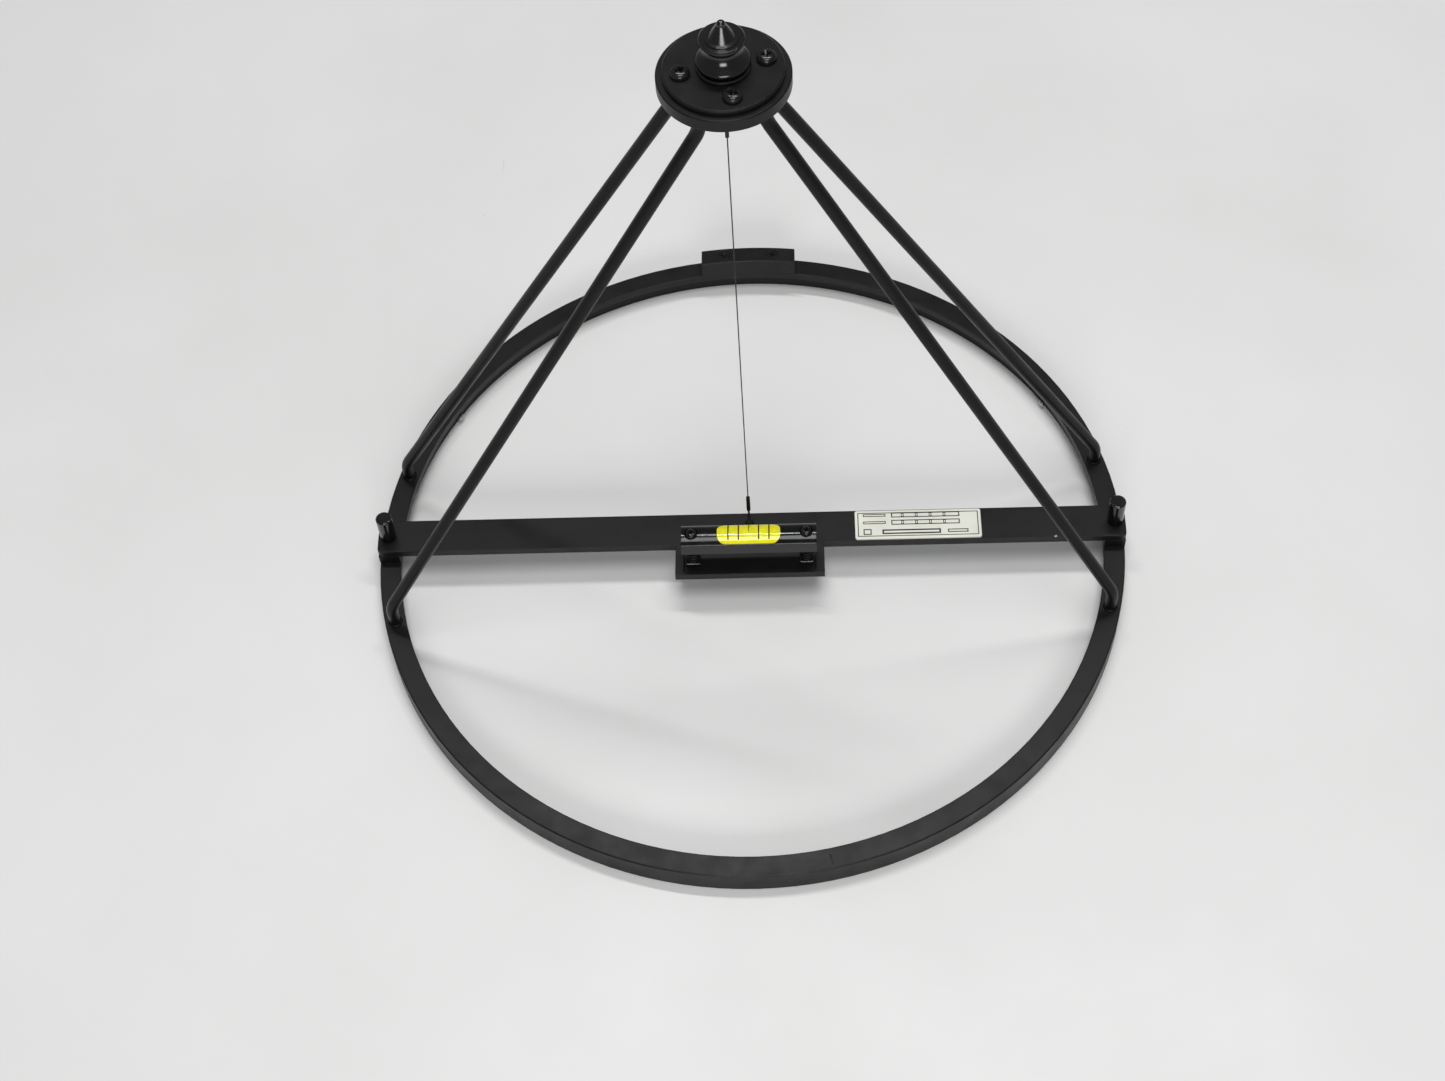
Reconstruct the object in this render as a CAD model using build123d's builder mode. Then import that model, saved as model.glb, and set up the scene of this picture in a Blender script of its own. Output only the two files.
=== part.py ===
"""Compass bearing sight: a ring that seats on a compass bowl, with a sighting wire held by four legs."""
import math
import os

from build123d import *

os.makedirs("parts", exist_ok=True)

# ---------------------------------------------------------------- ring
ring_outer_r = 140.0
ring_height = 9.5
face_width = 7.8            # width of the flat top face
wall = 5.5                  # thickness of the outer wall below the lip
lip_thickness = 3.0
edge_break = 0.4            # small chamfer along the visible edges
# ---------------------------------------------------------------- cross bar and tab
bar_width = 14.0
bar_thickness = 3.0
pad_height = 4.0            # pads that carry the bar clear of the ring
bar_corner_r = 1.6
tab_width = 55.4
tab_reach = 20.2            # from the bar's centre line to the tab's front edge
tab_side_rail = 3.2
tab_front_rail = 1.5
pocket_depth = 1.8
# ---------------------------------------------------------------- handle posts
post_r = 3.0
post_height = 12.4
post_neck_r = 2.3
post_neck_height = 1.4
post_shank_r = 1.5
# ---------------------------------------------------------------- legs
rod_r = 2.2
tenon_r = 1.4
tenon_length = 2.5
foot_angle = 14.2           # degrees either side of the bar's line
foot_bead = 0.55            # how far the weld bead at the foot stands out
foot_bead_height = 0.6
bend_r = 12.0
front_bend_height = 9.5     # above the ring's top face
back_bend_height = 7.4
top_bend_drop = 7.2         # below the hub
# ---------------------------------------------------------------- hub
hub_height = 236.0          # from the ring's top face to the hub's underside
hub_base_r = 20.0
hub_base_thickness = 4.2
hub_cap_r = 18.0
hub_cap_thickness = 2.0
hub_turn = 12.2             # degrees the hub is turned against the bar
leg_circle_r = 13.75
leg_socket_depth = 3.4
hub_screw_circle_r = 12.8
hub_screw_head_r = 3.0
hub_screw_head_height = 2.2
hub_screw_r = 1.5
hub_screw_grip = 3.2        # thread length inside the hub base
hub_screw_cross = 3.2       # length of the cross recess's arms
hub_screw_cross_width = 0.7
hub_screw_cross_depth = 1.2
# ---------------------------------------------------------------- tensioning knob and shadow pin
washer_r = 8.1
washer_thickness = 1.3
knob_lift = 0.02            # running gap between the washer and the knob
knob_neck_r = 5.5
knob_neck_height = 0.75
knob_rim_r = 8.05
knob_rim_height = 0.9
knob_shoulder_r = 7.55      # where the round shoulder above the rim starts to fall inwards
knob_shoulder_height = 2.65 # above the knob's seat
knob_flank_r = 6.1
knob_flank_height = 3.95
knob_waist_r = 4.85
knob_waist_height = 6.4
knob_collar_r = 6.8
knob_collar_height = 1.3
knob_height = 10.2
pin_step_r = 5.1
pin_step_height = 0.3
pin_base_r = 4.1
pin_tip_r = 1.4
pin_height = 6.2
pin_tenon_r = 1.5
pin_tenon_length = 2.6
stem_r = 2.0
stem_flat_width = 3.0       # across the flats that stop the stem from turning
stem_hang = 9.0             # how far the stem reaches below the hub
stem_top_gap = 1.2          # room above the stem inside the knob
# ---------------------------------------------------------------- sighting wire
wire_r = 0.2
strand_offset = 0.17        # of the two strands from the axis, where the wire is doubled back
loop_r = 1.35
eye_lug_width = 1.3
eye_lug_depth = 2.4
eye_hole_r = 0.6
eye_wall = 0.65             # metal between the eye and the end of its lug
eye_offset = 0.13           # of the tight wire from the eye's centre
upper_ferrule_r = 0.62
lower_ferrule_r = 0.72
ferrule_length = 7.8
ferrule_bore_gap = 0.02
upper_ferrule_drop = 5.2    # from the upper loop's centre to the ferrule's top
lower_ferrule_rise = 8.0    # from the lower loop's centre to the ferrule's foot
anchor_r = 2.85
anchor_head_height = 2.2
anchor_eye_rise = 0.75      # from the head to the eye's centre
anchor_shank_r = 1.5
anchor_nut_across = 5.5
anchor_nut_thickness = 2.4
# ---------------------------------------------------------------- level
level_length = 49.6
level_width = 9.2
level_height = 7.4
level_crown_r = 6.4
level_edge_r = 0.6          # round between the crown and the level's sides
level_lift = 9.2            # from the tab's top face to the level's underside
level_screw_spacing = 42.2
window_length = 23.2
window_width = 8.4
window_corner_r = 3.0
window_depth = 5.6
vial_inset = 0.04
chamber_r = 2.2
chamber_length = 18.0
chamber_depth = 2.8         # from the vial's crown to the chamber's centre line
plug_length = 2.2
spirit_level = 1.2          # liquid surface above the chamber's centre line
bubble_length = 6.2
mark_depth = 0.15
mark_widths = (0.5, 0.5, 0.25, 0.5, 0.5)
mark_offsets = (-7.5, -3.7, 0.0, 3.7, 7.5)
mark_front_reaches = (2.9, 2.9, -0.3, 2.9, 2.9)
level_screw_r = 1.25
level_screw_head_r = 2.1
level_screw_head_thickness = 1.6
level_screw_rise = 0.5      # of the heads above the top of the crown
level_screw_tail = 1.0      # below the tab
level_screw_cross = 2.6
level_screw_cross_width = 0.55
level_screw_cross_depth = 0.8
level_screw_turn = 25.0     # degrees the recess is turned
nut_width = 5.2
nut_thickness = 1.8
spring_r = 2.15
spring_wire_r = 0.35
spring_turns = 5
# ---------------------------------------------------------------- nameplate
plate_length = 47.0
plate_width = 12.7
plate_thickness = 0.8
plate_centre = 62.9
plate_corner_r = 0.8
# ---------------------------------------------------------------- index block on the far side
block_width = 38.0
block_height = 7.0
block_screw_spacing = 19.6
block_screw_r = 1.25
block_screw_head_r = 2.5
block_screw_head_depth = 1.25
block_screw_grip = 2.2
block_screw_cross = 2.8
block_screw_cross_width = 0.6
block_screw_cross_depth = 0.9
block_screw_turn = 30.0
# ---------------------------------------------------------------- guide pins inside the ring's wall
guide_angles = {"left": 150.0, "right": 30.0, "front": 270.0}
guide_r = 1.5
guide_height = 2.8
guide_reach = 2.5           # how far the tip stands inside the wall
guide_depth = 3.6           # how far the pin is pressed into the wall
guide_tip_break = 0.5
guide_hole_gap = 0.1        # behind the pressed end
# ---------------------------------------------------------------- clearances
fit_gap = 0.02              # round a fixed shank
run_gap = 0.05              # round a turning or sliding piece
free_gap = 0.35             # round a screw that the level tilts on
seat_gap = 0.1              # under a screw head that turns in a tilting piece

# ---------------------------------------------------------------- derived places
ring_inner_r = ring_outer_r - face_width
skirt_inner_r = ring_outer_r - wall
face_mid_r = ring_outer_r - face_width / 2
pad_top = ring_height + pad_height
bar_top = pad_top + bar_thickness
hub_bottom = ring_height + hub_height
base_top = hub_bottom + hub_base_thickness
cap_top = base_top + hub_cap_thickness
knob_seat = cap_top + washer_thickness + knob_lift
knob_top = knob_seat + knob_height
stem_top = knob_top - pin_tenon_length - stem_top_gap
stem_bottom = hub_bottom - stem_hang
pocket_floor = bar_top - pocket_depth
pocket_back = -bar_width / 2
pocket_front = -tab_reach + tab_front_rail
level_y = (pocket_back + pocket_front) / 2
level_bottom = bar_top + level_lift
level_top = level_bottom + level_height
crown_z = level_top - level_crown_r
window_floor = level_top - window_depth
chamber_z = level_top - vial_inset - chamber_depth
anchor_top = bar_top + anchor_head_height
lower_eye_z = anchor_top + anchor_eye_rise
upper_eye_z = stem_bottom + eye_wall + eye_hole_r
lower_loop_z = lower_eye_z + eye_offset + loop_r
upper_loop_z = upper_eye_z - eye_offset - loop_r
lower_ferrule_z = lower_loop_z + lower_ferrule_rise
upper_ferrule_z = upper_loop_z - upper_ferrule_drop - ferrule_length


def save(piece, name):
    """Names a finished piece and writes it to the parts folder."""
    piece.label = name
    export_step(piece, f"parts/{name}.step")


def polar(radius, degrees):
    """Returns x and y for a radius and an angle."""
    angle = math.radians(degrees)
    return radius * math.cos(angle), radius * math.sin(angle)


# ================================================================ ring
post_points = [(face_mid_r, 0), (-face_mid_r, 0)]
foot_points = [polar(face_mid_r, a) for a in (foot_angle, 180 - foot_angle, 180 + foot_angle, -foot_angle)]
block_screw_y = math.sqrt(face_mid_r**2 - (block_screw_spacing / 2) ** 2)
block_points = [(block_screw_spacing / 2, block_screw_y), (-block_screw_spacing / 2, block_screw_y)]
ring_hole_depth = lip_thickness - 0.2

with BuildPart() as sight_ring:
    with BuildSketch(Plane.XZ):
        with BuildLine():
            Polyline(
                (skirt_inner_r, 0),
                (ring_outer_r, 0),
                (ring_outer_r, ring_height - edge_break),
                (ring_outer_r - edge_break, ring_height),
                (ring_inner_r + edge_break / 2, ring_height),
                (ring_inner_r, ring_height - edge_break / 2),
                (ring_inner_r, ring_height - lip_thickness),
                (skirt_inner_r, ring_height - lip_thickness),
                close=True,
            )
        make_face()
    revolve(axis=Axis.Z)
    with BuildSketch(Plane.XY.offset(ring_height)):
        with Locations(*foot_points):
            Circle(tenon_r + fit_gap)
        with Locations(*post_points):
            Circle(post_shank_r + fit_gap)
        with Locations(*block_points):
            Circle(block_screw_r + fit_gap)
    extrude(amount=-ring_hole_depth, mode=Mode.SUBTRACT)
    for guide_angle in guide_angles.values():
        guide_x, guide_y = polar(1, guide_angle)
        hole_plane = Plane(
            origin=(guide_x * (skirt_inner_r - 1), guide_y * (skirt_inner_r - 1), guide_height),
            z_dir=(guide_x, guide_y, 0),
        )
        with BuildSketch(hole_plane):
            Circle(guide_r + fit_gap)
        extrude(amount=1 + guide_depth + guide_hole_gap, mode=Mode.SUBTRACT)
save(sight_ring.part, "sight_ring")

# ================================================================ pads and bar
for side, sign in (("left", -1), ("right", 1)):
    with BuildPart() as bar_pad:
        with BuildSketch(Plane.XY.offset(ring_height)):
            Circle(ring_outer_r)
            Circle(ring_inner_r, mode=Mode.SUBTRACT)
            with Locations((sign * ring_outer_r, 0)):
                Rectangle(ring_outer_r, bar_width, mode=Mode.INTERSECT)
            with Locations((sign * face_mid_r, 0)):
                Circle(post_shank_r + fit_gap, mode=Mode.SUBTRACT)
        extrude(amount=pad_height)
    save(bar_pad.part, f"bar_pad_{side}")

screw_xs = (-level_screw_spacing / 2, level_screw_spacing / 2)
with BuildPart() as cross_bar:
    with BuildSketch(Plane.XY.offset(pad_top)):
        Circle(ring_outer_r)
        Rectangle(3 * ring_outer_r, bar_width, mode=Mode.INTERSECT)
        with Locations((0, -tab_reach / 2)):
            Rectangle(tab_width, tab_reach)
    extrude(amount=bar_thickness)
    end_corners = cross_bar.edges().filter_by(Axis.Z).filter_by(lambda e: abs(e.center().X) > ring_inner_r)
    fillet(end_corners, bar_corner_r)
    with BuildSketch(Plane.XY.offset(bar_top)):
        with Locations((0, (pocket_back + pocket_front) / 2)):
            Rectangle(tab_width - 2 * tab_side_rail, pocket_back - pocket_front)
    extrude(amount=-pocket_depth, mode=Mode.SUBTRACT)
    with BuildSketch(Plane.XY.offset(pad_top)):
        with Locations((-face_mid_r, 0), (face_mid_r, 0)):
            Circle(post_shank_r + fit_gap)
        with Locations((0, 0)):
            Circle(anchor_shank_r + fit_gap)
        with Locations(*[(x, level_y) for x in screw_xs]):
            Circle(level_screw_r + run_gap)
    extrude(amount=bar_thickness, mode=Mode.SUBTRACT)
save(cross_bar.part, "cross_bar")

# ================================================================ handle posts
for side, sign in (("left", -1), ("right", 1)):
    with BuildPart() as handle_post:
        with BuildSketch(Plane.XZ.offset(0)):
            with BuildLine():
                Polyline(
                    (0, bar_top - bar_thickness - pad_height - ring_hole_depth + 0.2),
                    (post_shank_r, bar_top - bar_thickness - pad_height - ring_hole_depth + 0.2),
                    (post_shank_r, bar_top),
                    (post_neck_r, bar_top),
                    (post_neck_r, bar_top + post_neck_height),
                    (post_r - edge_break, bar_top + post_neck_height),
                    (post_r, bar_top + post_neck_height + edge_break),
                    (post_r, bar_top + post_height - edge_break),
                    (post_r - edge_break, bar_top + post_height),
                    (0, bar_top + post_height),
                    close=True,
                )
            make_face()
        revolve(axis=Axis.Z)
    save(handle_post.part.moved(Location((sign * face_mid_r, 0, 0))), f"handle_post_{side}")

# ================================================================ legs
leg_angles = {
    "back_right": (foot_angle, 45 + hub_turn, back_bend_height),
    "back_left": (180 - foot_angle, 135 + hub_turn, back_bend_height),
    "front_left": (180 + foot_angle, 225 + hub_turn, front_bend_height),
    "front_right": (-foot_angle, -45 + hub_turn, front_bend_height),
}
for corner, (foot_at, top_at, bend_height) in leg_angles.items():
    foot_x, foot_y = polar(face_mid_r, foot_at)
    top_x, top_y = polar(leg_circle_r, top_at)
    span = math.hypot(top_x - foot_x, top_y - foot_y)
    leg_plane = Plane(
        origin=(foot_x, foot_y, ring_height),
        x_dir=((top_x - foot_x) / span, (top_y - foot_y) / span, 0),
        z_dir=((top_y - foot_y) / span, -(top_x - foot_x) / span, 0),
    )
    with BuildPart() as leg:
        with BuildLine(leg_plane):
            FilletPolyline(
                (0, 0),
                (0, bend_height),
                (span, hub_height - top_bend_drop),
                (span, hub_height + leg_socket_depth),
                radius=bend_r,
            )
        with BuildSketch(Plane.XY.offset(ring_height)):
            with Locations((foot_x, foot_y)):
                Circle(rod_r)
        sweep()
        with BuildSketch(Plane.XY.offset(ring_height)):
            with Locations((foot_x, foot_y)):
                Circle(tenon_r)
        extrude(amount=-tenon_length)
        with BuildSketch(Plane.XY.offset(ring_height)):
            with Locations((foot_x, foot_y)):
                Circle(rod_r + foot_bead)
        extrude(amount=foot_bead_height, taper=30)
    save(leg.part, f"leg_{corner}")

# ================================================================ hub
leg_tops = [polar(leg_circle_r, 45 + 90 * i + hub_turn) for i in range(4)]
hub_screw_points = [polar(hub_screw_circle_r, 90 * i + hub_turn) for i in range(4)]
with BuildPart() as hub_base:
    with BuildSketch(Plane.XY.offset(hub_bottom)):
        Circle(hub_base_r)
    extrude(amount=hub_base_thickness)
    chamfer(hub_base.edges().group_by(Axis.Z)[-1], edge_break)
    with BuildSketch(Plane.XY.offset(hub_bottom)):
        with Locations(*leg_tops):
            Circle(rod_r + fit_gap)
    extrude(amount=leg_socket_depth, mode=Mode.SUBTRACT)
    with BuildSketch(Plane.XY.offset(base_top)):
        with Locations(*hub_screw_points):
            Circle(hub_screw_r + fit_gap)
    extrude(amount=-hub_screw_grip - 0.3, mode=Mode.SUBTRACT)
    with BuildSketch(Plane.XY.offset(hub_bottom)):
        Circle(stem_r + run_gap)
        Rectangle(4 * stem_r, stem_flat_width + 2 * run_gap, mode=Mode.INTERSECT)
    extrude(amount=hub_base_thickness, mode=Mode.SUBTRACT)
save(hub_base.part, "hub_base")

with BuildPart() as hub_cap:
    with BuildSketch(Plane.XY.offset(base_top)):
        Circle(hub_cap_r)
        Circle(stem_r + run_gap, mode=Mode.SUBTRACT)
        with Locations(*hub_screw_points):
            Circle(hub_screw_r + fit_gap, mode=Mode.SUBTRACT)
    extrude(amount=hub_cap_thickness)
    rim_edge = hub_cap.edges().group_by(Axis.Z)[-1].sort_by(SortBy.LENGTH)[-1]
    chamfer(rim_edge, edge_break)
save(hub_cap.part, "hub_cap")

with BuildPart() as hub_screw:
    with BuildSketch(Plane.XY.offset(cap_top)):
        Circle(hub_screw_head_r)
    extrude(amount=hub_screw_head_height)
    fillet(hub_screw.edges().group_by(Axis.Z)[-1], 0.6 * hub_screw_head_height)
    with BuildSketch(Plane.XY.offset(cap_top)):
        Circle(hub_screw_r)
    extrude(amount=-hub_cap_thickness - hub_screw_grip)
    with BuildSketch(Plane.XY.offset(cap_top + hub_screw_head_height)):
        Rectangle(hub_screw_cross, hub_screw_cross_width)
        Rectangle(hub_screw_cross_width, hub_screw_cross)
    extrude(amount=-hub_screw_cross_depth, mode=Mode.SUBTRACT)
turned = [Location((x, y, 0), (0, 0, hub_turn)) for x, y in hub_screw_points]
save(Compound(children=[hub_screw.part.moved(place) for place in turned]), "hub_screws")

# ================================================================ washer, knob, shadow pin, stem
with BuildPart() as knob_washer:
    with BuildSketch(Plane.XY.offset(cap_top)):
        Circle(washer_r)
        Circle(stem_r + run_gap, mode=Mode.SUBTRACT)
    extrude(amount=washer_thickness)
    chamfer(knob_washer.edges().group_by(Axis.Z)[-1].sort_by(SortBy.LENGTH)[-1], edge_break)
save(knob_washer.part, "knob_washer")

rim_bottom = knob_seat + knob_neck_height
rim_top = rim_bottom + knob_rim_height
waist_z = knob_seat + knob_waist_height
collar_bottom = knob_top - knob_collar_height
with BuildPart() as tension_knob:
    with BuildSketch(Plane.XZ):
        with BuildLine():
            Polyline(
                (stem_r + run_gap, stem_top + stem_top_gap / 2),
                (stem_r + run_gap, knob_seat),
                (knob_neck_r, knob_seat),
                (knob_neck_r, rim_bottom),
                (knob_rim_r - edge_break, rim_bottom),
                (knob_rim_r, rim_bottom + edge_break),
                (knob_rim_r, rim_top),
            )
            Spline(
                (knob_rim_r, rim_top),
                (knob_shoulder_r, knob_seat + knob_shoulder_height),
                (knob_flank_r, knob_seat + knob_flank_height),
                (knob_waist_r, waist_z),
                (knob_collar_r - 0.6, collar_bottom),
                tangents=[(0, 1), (1, 0.9)],
            )
            Polyline(
                (knob_collar_r - 0.6, collar_bottom),
                (knob_collar_r, collar_bottom + 0.2),
                (knob_collar_r, knob_top - edge_break),
                (knob_collar_r - edge_break, knob_top),
                (pin_tenon_r + fit_gap, knob_top),
                (pin_tenon_r + fit_gap, stem_top + stem_top_gap / 2),
                (stem_r + run_gap, stem_top + stem_top_gap / 2),
            )
        make_face()
    revolve(axis=Axis.Z)
save(tension_knob.part, "tension_knob")

with BuildPart() as shadow_pin:
    with BuildSketch(Plane.XZ):
        with BuildLine():
            Polyline(
                (0, knob_top - pin_tenon_length),
                (pin_tenon_r, knob_top - pin_tenon_length),
                (pin_tenon_r, knob_top),
                (pin_step_r, knob_top),
                (pin_step_r, knob_top + pin_step_height),
                (pin_base_r, knob_top + pin_step_height),
                (pin_tip_r, knob_top + pin_height - pin_tip_r),
            )
            RadiusArc(
                (pin_tip_r, knob_top + pin_height - pin_tip_r),
                (0, knob_top + pin_height),
                -pin_tip_r,
            )
            Line((0, knob_top + pin_height), (0, knob_top - pin_tenon_length))
        make_face()
    revolve(axis=Axis.Z)
save(shadow_pin.part, "shadow_pin")

with BuildPart() as tension_stem:
    with BuildSketch(Plane.XY.offset(stem_bottom)):
        Circle(stem_r)
    extrude(amount=stem_top - stem_bottom)
    with BuildSketch(Plane.XY.offset(stem_bottom)):
        Rectangle(4 * stem_r, 4 * stem_r)
        Rectangle(4 * stem_r, stem_flat_width, mode=Mode.SUBTRACT)
    extrude(amount=base_top + 1.0 - stem_bottom, mode=Mode.SUBTRACT)
    with BuildSketch(Plane.XY.offset(stem_bottom)):
        Rectangle(4 * stem_r, 4 * stem_r)
        Rectangle(eye_lug_width, 4 * stem_r, mode=Mode.SUBTRACT)
    extrude(amount=eye_wall + 2 * eye_hole_r + loop_r, mode=Mode.SUBTRACT)
    with BuildSketch(Plane.YZ.offset(-eye_lug_width)):
        with Locations((0, upper_eye_z)):
            Circle(eye_hole_r)
    extrude(amount=2 * eye_lug_width, mode=Mode.SUBTRACT)
save(tension_stem.part, "tension_stem")

# ================================================================ sighting wire, its ferrules and anchor
with BuildPart() as sighting_wire:
    with BuildSketch(Plane.XY.offset(lower_loop_z + loop_r)):
        Circle(wire_r)
    extrude(amount=upper_loop_z - lower_loop_z - 2 * loop_r)
    strands = (
        (lower_loop_z + loop_r - wire_r / 2, lower_ferrule_z + ferrule_length),
        (upper_ferrule_z, upper_loop_z - loop_r + wire_r / 2),
    )
    for strand_foot, strand_top in strands:
        with BuildSketch(Plane.XY.offset(strand_foot)):
            with Locations((-strand_offset, 0), (strand_offset, 0)):
                Circle(wire_r)
        extrude(amount=strand_top - strand_foot)
    for loop_z in (lower_loop_z, upper_loop_z):
        with Locations(Location((0, 0, loop_z), (90, 0, 0))):
            Torus(loop_r, wire_r)
save(sighting_wire.part, "sighting_wire")

ferrules = (
    ("lower_wire_ferrule", lower_ferrule_z, lower_ferrule_r),
    ("upper_wire_ferrule", upper_ferrule_z, upper_ferrule_r),
)
for ferrule_name, ferrule_z, ferrule_r in ferrules:
    with BuildPart() as ferrule:
        with BuildSketch(Plane.XY.offset(ferrule_z)):
            Circle(ferrule_r)
            Circle(strand_offset + wire_r + ferrule_bore_gap, mode=Mode.SUBTRACT)
        extrude(amount=ferrule_length)
    save(ferrule.part, ferrule_name)

with BuildPart() as wire_anchor:
    with BuildSketch(Plane.XY.offset(bar_top)):
        Circle(anchor_r)
    extrude(amount=anchor_head_height)
    fillet(wire_anchor.edges().group_by(Axis.Z)[-1], 0.5 * anchor_head_height)
    with BuildSketch(Plane.XY.offset(bar_top)):
        Circle(anchor_shank_r)
    extrude(amount=-bar_thickness - anchor_nut_thickness)
    with BuildSketch(Plane.XY.offset(anchor_top - anchor_head_height / 4)):
        Rectangle(eye_lug_width, eye_lug_depth)
    extrude(amount=anchor_head_height / 4 + anchor_eye_rise + eye_hole_r + eye_wall)
    with BuildSketch(Plane.YZ.offset(-eye_lug_width)):
        with Locations((0, lower_eye_z)):
            Circle(eye_hole_r)
    extrude(amount=2 * eye_lug_width, mode=Mode.SUBTRACT)
save(wire_anchor.part, "wire_anchor")

with BuildPart() as anchor_nut:
    with BuildSketch(Plane.XY.offset(pad_top - anchor_nut_thickness)):
        RegularPolygon(anchor_nut_across / 2, 6, major_radius=False)
        Circle(anchor_shank_r + fit_gap, mode=Mode.SUBTRACT)
    extrude(amount=anchor_nut_thickness)
save(anchor_nut.part, "anchor_nut")

# ================================================================ level
level_screw_top = level_top + level_screw_rise
level_screw_seat = level_screw_top - level_screw_head_thickness
with BuildPart() as level_body:
    with BuildSketch(Plane.YZ.offset(-level_length / 2)):
        with Locations((level_y, crown_z)):
            Circle(level_crown_r)
        with Locations((level_y, level_bottom + level_height / 2)):
            Rectangle(level_width, level_height, mode=Mode.INTERSECT)
    extrude(amount=level_length)
    with BuildSketch(Plane.XY.offset(level_bottom)):
        with Locations((0, level_y)):
            Rectangle(level_length, level_width)
    extrude(amount=crown_z - level_bottom)
    shoulder_edges = level_body.edges().filter_by(Axis.X).filter_by(
        lambda e: crown_z + 1 < e.center().Z < level_top - 0.5
    )
    fillet(shoulder_edges, level_edge_r)
    with BuildSketch(Plane.XY.offset(window_floor)):
        with Locations((0, level_y)):
            RectangleRounded(window_length, window_width, window_corner_r)
    extrude(amount=window_depth, mode=Mode.SUBTRACT)
    with BuildSketch(Plane.XY.offset(level_bottom)):
        with Locations(*[(x, level_y) for x in screw_xs]):
            Circle(level_screw_r + free_gap)
    extrude(amount=level_height, mode=Mode.SUBTRACT)
    with BuildSketch(Plane.XY.offset(level_screw_seat - seat_gap)):
        with Locations(*[(x, level_y) for x in screw_xs]):
            Circle(level_screw_head_r + free_gap)
    extrude(amount=level_height, mode=Mode.SUBTRACT)
save(level_body.part, "level_body")

vial_crown_r = level_crown_r - vial_inset
mark_back_reach = window_width / 2 - 0.1
with BuildPart() as vial_marks:
    for mark_x, mark_width, mark_front_reach in zip(mark_offsets, mark_widths, mark_front_reaches):
        with BuildSketch(Plane.YZ.offset(mark_x - mark_width / 2)):
            with Locations((level_y, crown_z)):
                Circle(vial_crown_r)
                Circle(vial_crown_r - mark_depth, mode=Mode.SUBTRACT)
            with Locations((level_y + (mark_back_reach - mark_front_reach) / 2, level_top)):
                Rectangle(mark_back_reach + mark_front_reach, level_height, mode=Mode.INTERSECT)
        extrude(amount=mark_width)
save(vial_marks.part, "vial_marks")

with BuildPart() as vial_block:
    with BuildSketch(Plane.XY.offset(window_floor)):
        with Locations((0, level_y)):
            RectangleRounded(window_length - 2 * fit_gap, window_width - 2 * fit_gap, window_corner_r - fit_gap)
    extrude(amount=window_depth)
    with BuildSketch(Plane.YZ.offset(-level_length / 2)):
        with Locations((level_y, crown_z)):
            Circle(vial_crown_r)
        with Locations((level_y, crown_z - level_height / 2)):
            Rectangle(level_width, level_height)
    extrude(amount=level_length, mode=Mode.INTERSECT)
    with BuildSketch(Plane.YZ.offset(-chamber_length / 2)):
        with Locations((level_y, chamber_z)):
            Circle(chamber_r)
    extrude(amount=chamber_length + window_length, mode=Mode.SUBTRACT)
    add(vial_marks.part, mode=Mode.SUBTRACT)
save(vial_block.part, "vial_block")

with BuildPart() as vial_plug:
    with BuildSketch(Plane.YZ.offset(chamber_length / 2)):
        with Locations((level_y, chamber_z)):
            Circle(chamber_r - fit_gap)
    extrude(amount=plug_length)
save(vial_plug.part, "vial_plug")

with BuildPart() as vial_spirit:
    with BuildSketch(Plane.YZ.offset(-chamber_length / 2)):
        with Locations((level_y, chamber_z)):
            Circle(chamber_r - fit_gap)
        with Locations((level_y, chamber_z + spirit_level - chamber_r)):
            Rectangle(2 * chamber_r, 2 * chamber_r, mode=Mode.INTERSECT)
    extrude(amount=chamber_length)
save(vial_spirit.part, "vial_spirit")

with BuildPart() as vial_bubble:
    with BuildSketch(Plane.YZ.offset(-bubble_length / 2)):
        with Locations((level_y, chamber_z)):
            Circle(chamber_r - run_gap)
        with Locations((level_y, chamber_z + spirit_level + fit_gap + chamber_r)):
            Rectangle(2 * chamber_r, 2 * chamber_r, mode=Mode.INTERSECT)
    extrude(amount=bubble_length)
    with BuildSketch(Plane.XY.offset(chamber_z)):
        with Locations((0, level_y)):
            SlotOverall(bubble_length, 2 * chamber_r)
    extrude(amount=2 * chamber_r, mode=Mode.INTERSECT)
save(vial_bubble.part, "vial_bubble")

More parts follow.
